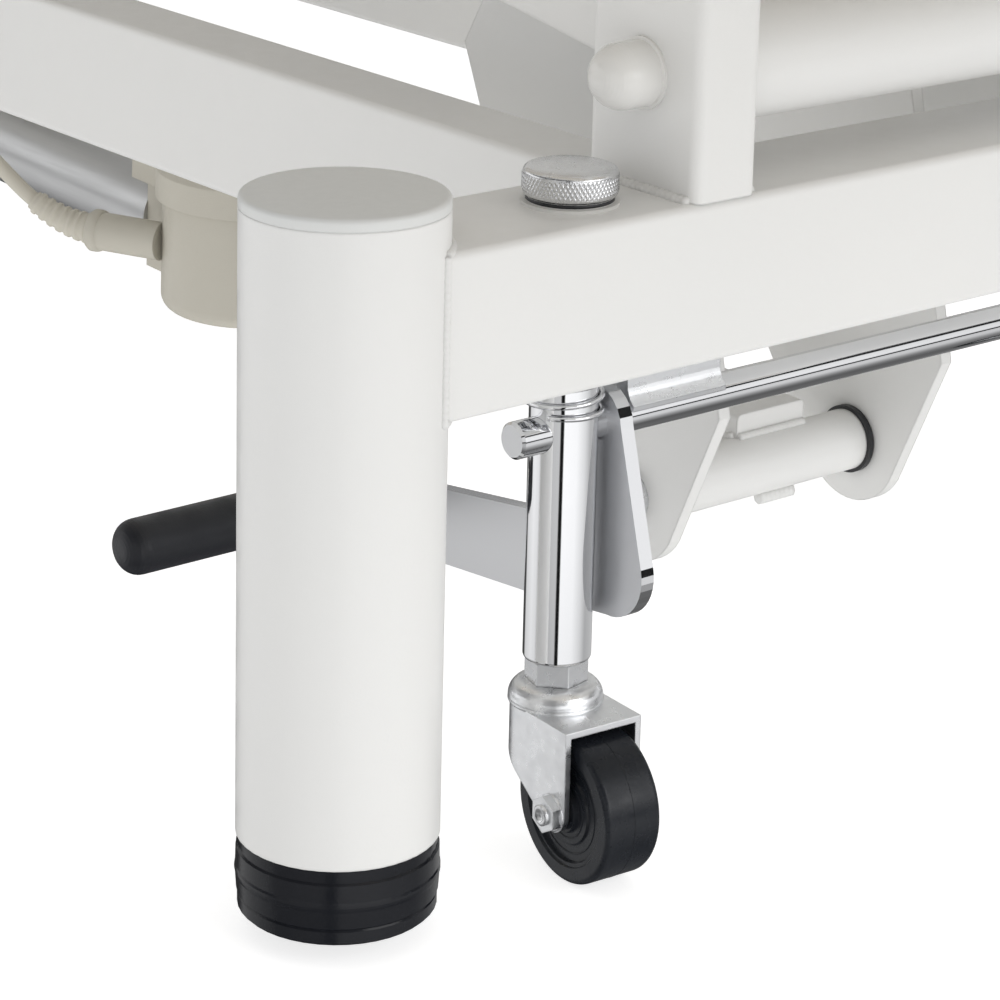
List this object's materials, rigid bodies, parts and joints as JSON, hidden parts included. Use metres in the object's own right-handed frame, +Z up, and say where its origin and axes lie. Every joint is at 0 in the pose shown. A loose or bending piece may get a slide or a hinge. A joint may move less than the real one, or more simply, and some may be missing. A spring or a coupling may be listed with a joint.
{
  "type": "examination couch",
  "caption": "Height-adjustable examination couch: narrow tube base with lowerable castors and pedals, parallel lift arms with an actuator, and a padded top whose back section tilts.",
  "frame": {"origin": "on the floor, under the middle of the whole couch", "axes": "+X across the couch, +Y along it to the head end, +Z up"},
  "size_m": [0.664, 1.9, 0.4756],
  "materials": {
    "painted_steel": "white semi-gloss powder coat",
    "grey_caps": "light grey moulded plastic, satin",
    "boot_rubber": "black moulded rubber",
    "chrome_steel": "bright chrome plate",
    "zinc_steel": "bright zinc plate",
    "satin_steel": "satin silver",
    "black_steel": "black paint",
    "white_caps": "white glossy plastic",
    "white_nylon": "white nylon",
    "black_plastic": "black moulded plastic",
    "beige_plastic": "warm grey moulded plastic, fine texture",
    "cable_sheath": "warm grey cable sheath",
    "grip_rubber": "black satin rubber",
    "wheel_plastic": "dark grey moulded wheel",
    "plywood": "birch plywood",
    "upholstery": "blue-grey vinyl with a fine grain"
  },
  "bodies": {
    "base": {"end_beams": "painted_steel", "corner_posts": "painted_steel", "tube_caps": "grey_caps", "foot_boots": "boot_rubber", "side_rails": "painted_steel", "cross_members": "painted_steel", "pivot_uprights": "painted_steel", "lower_pivot_shafts": "chrome_steel", "pivot_caps": "white_caps", "pivot_washers": "white_nylon", "knob_washers": "white_nylon", "control_box": "beige_plastic", "mains_inlet": "black_plastic", "anchor_bracket": "painted_steel"},
    "castors_front": {"castor_tubes_front": "chrome_steel", "tube_springs_front": "chrome_steel", "shaft_shoes_front": "zinc_steel", "castor_stems_front": "zinc_steel"},
    "castors_rear": {"castor_tubes_rear": "chrome_steel", "tube_springs_rear": "chrome_steel", "shaft_shoes_rear": "zinc_steel", "castor_stems_rear": "zinc_steel"},
    "pedal_front": {"pedal_shaft_front": "chrome_steel", "pedal_grip_front": "grip_rubber"},
    "pedal_rear": {"pedal_shaft_rear": "chrome_steel", "pedal_grip_rear": "grip_rubber"},
    "arm_front": {"lift_arm_front": "painted_steel", "arm_bushes_front": "black_plastic", "link_pin": "zinc_steel"},
    "arm_rear": {"lift_arm_rear": "painted_steel", "arm_bushes_rear": "black_plastic"},
    "actuator": {"push_link": "painted_steel", "link_washers": "black_plastic", "motor_housing": "beige_plastic", "motor_lid": "beige_plastic", "actuator_tube": "satin_steel", "motor_cable": "cable_sheath"},
    "rod": {"actuator_rod": "satin_steel"},
    "top": {"top_chassis": "painted_steel", "seat_board": "plywood", "seat_pad": "upholstery", "upper_pivot_shafts": "chrome_steel", "hinge_bolts": "zinc_steel"},
    "back": {"back_frame": "painted_steel", "back_board": "plywood", "back_pad": "upholstery"},
    "spring_body": {"gas_spring_body": "black_steel"},
    "spring_rod": {"gas_spring_rod": "chrome_steel"},
    "swivel_fl": {"castor_fork_fl": "zinc_steel"},
    "wheel_fl": {"castor_wheel_fl": "wheel_plastic"},
    "knob_fl": {"stem_knob_fl": "chrome_steel"},
    "swivel_fr": {"castor_fork_fr": "zinc_steel"},
    "wheel_fr": {"castor_wheel_fr": "wheel_plastic"},
    "knob_fr": {"stem_knob_fr": "chrome_steel"},
    "swivel_rl": {"castor_fork_rl": "zinc_steel"},
    "wheel_rl": {"castor_wheel_rl": "wheel_plastic"},
    "knob_rl": {"stem_knob_rl": "chrome_steel"},
    "swivel_rr": {"castor_fork_rr": "zinc_steel"},
    "wheel_rr": {"castor_wheel_rr": "wheel_plastic"},
    "knob_rr": {"stem_knob_rr": "chrome_steel"}
  },
  "joints": [
    {"name": "lift", "type": "hinge", "parent": "base", "child": "arm_front", "pos_m": [0, -0.5595, 0.2434], "axis": [1, 0, 0], "range_deg": [0, 38]},
    {"name": "lift_rear", "type": "hinge", "parent": "base", "child": "arm_rear", "pos_m": [0, 0.0005, 0.2434], "axis": [1, 0, 0], "range_deg": [0, 38]},
    {"name": "top_level", "type": "hinge", "parent": "arm_front", "child": "top", "pos_m": [0, -0.06566, 0.32162], "axis": [1, 0, 0], "range_deg": [-38, 0]},
    {"name": "actuator_swing", "type": "hinge", "parent": "arm_front", "child": "actuator", "pos_m": [0, -0.483, 0.073], "axis": [1, 0, 0], "range_deg": [-44.5, 0]},
    {"name": "rod_swing", "type": "hinge", "parent": "base", "child": "rod", "pos_m": [0, 0.34, 0.1018], "axis": [1, 0, 0], "range_deg": [-6, 0]},
    {"name": "back_tilt", "type": "hinge", "parent": "top", "child": "back", "pos_m": [0, 0.25, 0.46262], "axis": [1, 0, 0], "range_deg": [0, 65]},
    {"name": "spring_swing", "type": "hinge", "parent": "top", "child": "spring_body", "pos_m": [0, 0.17767, 0.288], "axis": [1, 0, 0], "range_deg": [0, 32.5]},
    {"name": "spring_rod_swing", "type": "hinge", "parent": "back", "child": "spring_rod", "pos_m": [0, 0.39994, 0.34756], "axis": [1, 0, 0], "range_deg": [-32.5, 0]},
    {"name": "castors_front_slide", "type": "slide", "parent": "base", "child": "castors_front", "axis": [0, 0, 1], "range_m": [0, 0.0081]},
    {"name": "castors_rear_slide", "type": "slide", "parent": "base", "child": "castors_rear", "axis": [0, 0, 1], "range_m": [0, 0.0081]},
    {"name": "pedal_front_turn", "type": "hinge", "parent": "castors_front", "child": "pedal_front", "pos_m": [0, -0.56, 0.1374], "axis": [1, 0, 0], "range_deg": [0, 35]},
    {"name": "pedal_rear_turn", "type": "hinge", "parent": "castors_rear", "child": "pedal_rear", "pos_m": [0, 0.56, 0.1374], "axis": [-1, 0, 0], "range_deg": [0, 35]},
    {"name": "swivel_fl", "type": "hinge", "parent": "castors_front", "child": "swivel_fl", "pos_m": [-0.1525, -0.56, 0.054], "axis": [0, 0, 1], "continuous": true},
    {"name": "wheel_spin_fl", "type": "hinge", "parent": "swivel_fl", "child": "wheel_fl", "pos_m": [-0.15398, -0.57884, 0.0234], "axis": [0.9969, -0.0785, 0], "continuous": true},
    {"name": "knob_turn_fl", "type": "hinge", "parent": "castors_front", "child": "knob_fl", "pos_m": [-0.1525, -0.56, 0.212], "axis": [0, 0, 1], "continuous": true},
    {"name": "swivel_fr", "type": "hinge", "parent": "castors_front", "child": "swivel_fr", "pos_m": [0.1525, -0.56, 0.054], "axis": [0, 0, 1], "continuous": true},
    {"name": "wheel_spin_fr", "type": "hinge", "parent": "swivel_fr", "child": "wheel_fr", "pos_m": [0.15546, -0.57867, 0.0234], "axis": [0.9877, 0.1564, 0], "continuous": true},
    {"name": "knob_turn_fr", "type": "hinge", "parent": "castors_front", "child": "knob_fr", "pos_m": [0.1525, -0.56, 0.212], "axis": [0, 0, 1], "continuous": true},
    {"name": "swivel_rl", "type": "hinge", "parent": "castors_rear", "child": "swivel_rl", "pos_m": [-0.1525, 0.56, 0.054], "axis": [0, 0, 1], "continuous": true},
    {"name": "wheel_spin_rl", "type": "hinge", "parent": "swivel_rl", "child": "wheel_rl", "pos_m": [-0.15643, 0.54151, 0.0234], "axis": [0.9781, -0.2079, 0], "continuous": true},
    {"name": "knob_turn_rl", "type": "hinge", "parent": "castors_rear", "child": "knob_rl", "pos_m": [-0.1525, 0.56, 0.212], "axis": [0, 0, 1], "continuous": true},
    {"name": "swivel_rr", "type": "hinge", "parent": "castors_rear", "child": "swivel_rr", "pos_m": [0.1525, 0.56, 0.054], "axis": [0, 0, 1], "continuous": true},
    {"name": "wheel_spin_rr", "type": "hinge", "parent": "swivel_rr", "child": "wheel_rr", "pos_m": [0.15448, 0.5412, 0.0234], "axis": [0.9945, 0.1045, 0], "continuous": true},
    {"name": "knob_turn_rr", "type": "hinge", "parent": "castors_rear", "child": "knob_rr", "pos_m": [0.1525, 0.56, 0.212], "axis": [0, 0, 1], "continuous": true}
  ],
  "couplings": [
    {"joint": "lift_rear", "follows": "lift", "ratio": 1},
    {"joint": "top_level", "follows": "lift", "ratio": -1},
    {"joint": "actuator_swing", "follows": "lift", "ratio": -1.1506},
    {"joint": "rod_swing", "follows": "lift", "ratio": -0.1506},
    {"joint": "spring_swing", "follows": "back_tilt", "ratio": 0.5},
    {"joint": "spring_rod_swing", "follows": "back_tilt", "ratio": -0.5},
    {"joint": "castors_front_slide", "follows": "pedal_front_turn", "m_per_rad": 0.0131},
    {"joint": "castors_rear_slide", "follows": "pedal_rear_turn", "m_per_rad": 0.0131}
  ]
}
